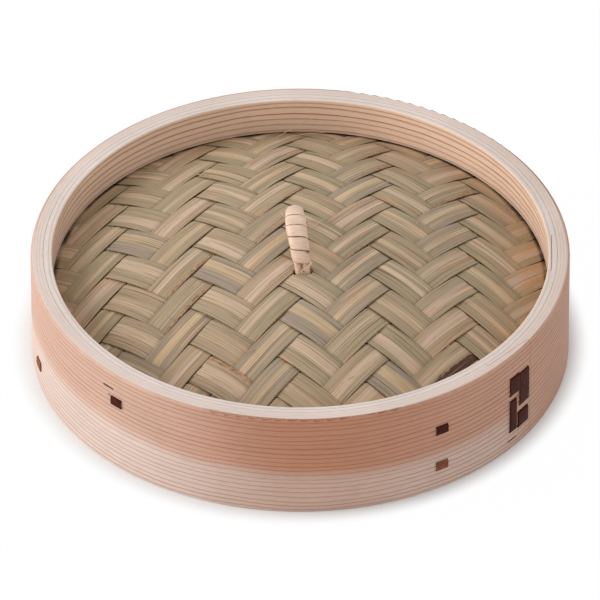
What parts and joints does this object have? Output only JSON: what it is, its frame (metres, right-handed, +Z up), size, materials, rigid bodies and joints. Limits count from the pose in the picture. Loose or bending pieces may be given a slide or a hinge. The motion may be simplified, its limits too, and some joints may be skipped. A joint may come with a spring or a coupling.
{
  "type": "steamer lid",
  "caption": "Round steamer lid: a domed twill of split bamboo held between bent cedar hoops, sewn with bark, with a wrapped cane loop to lift it by.",
  "frame": {"origin": "Middle of the lid's bottom edge, on the surface that it stands on.", "axes": "+Z up through the crown of the dome, -Y towards the viewer of the picture, +X to the viewer's right."},
  "size_m": [0.24, 0.24, 0.0758],
  "materials": {
    "cedar": "planed, unfinished cedar with fine growth rings",
    "bamboo": "split bamboo, greenish grey skin and straw flesh",
    "bark": "dark bark ribbon, slightly glossy",
    "rattan": "peeled rattan, pale and satin"
  },
  "bodies": {
    "lid": {"bark_tie_left_lower": "bark", "bark_tie_left_upper": "bark", "bark_tie_rear_1": "bark", "bark_tie_rear_2": "bark", "bark_tie_rear_3": "bark", "bark_tie_rear_4": "bark", "bark_tie_right_lower": "bark", "bark_tie_right_upper": "bark", "lower_inner_hoop": "cedar", "outer_hoop": "cedar", "seam_lace_left": "bark", "seam_lace_right": "bark", "upper_inner_hoop": "cedar", "warp_strip_01": "bamboo", "warp_strip_02": "bamboo", "warp_strip_03": "bamboo", "warp_strip_04": "bamboo", "warp_strip_05": "bamboo", "warp_strip_06": "bamboo", "warp_strip_07": "bamboo", "warp_strip_08": "bamboo", "warp_strip_09": "bamboo", "warp_strip_10": "bamboo", "warp_strip_11": "bamboo", "warp_strip_12": "bamboo", "warp_strip_13": "bamboo", "warp_strip_14": "bamboo", "warp_strip_15": "bamboo", "warp_strip_16": "bamboo", "warp_strip_17": "bamboo", "warp_strip_18": "bamboo", "weft_strip_01": "bamboo", "weft_strip_02": "bamboo", "weft_strip_03": "bamboo", "weft_strip_04": "bamboo", "weft_strip_05": "bamboo", "weft_strip_06": "bamboo", "weft_strip_07": "bamboo", "weft_strip_08": "bamboo", "weft_strip_09": "bamboo", "weft_strip_10": "bamboo", "weft_strip_11": "bamboo", "weft_strip_12": "bamboo", "weft_strip_13": "bamboo", "weft_strip_14": "bamboo"},
    "handle": {"handle_cane": "rattan", "handle_wrap": "rattan"}
  },
  "joints": [
    {"name": "handle_rock", "type": "hinge", "parent": "lid", "child": "handle", "pos_m": [-0.00013, -0.004, 0.05609], "axis": [-0.0785, 0.9969, 0], "range_deg": [-13, 27]}
  ]
}
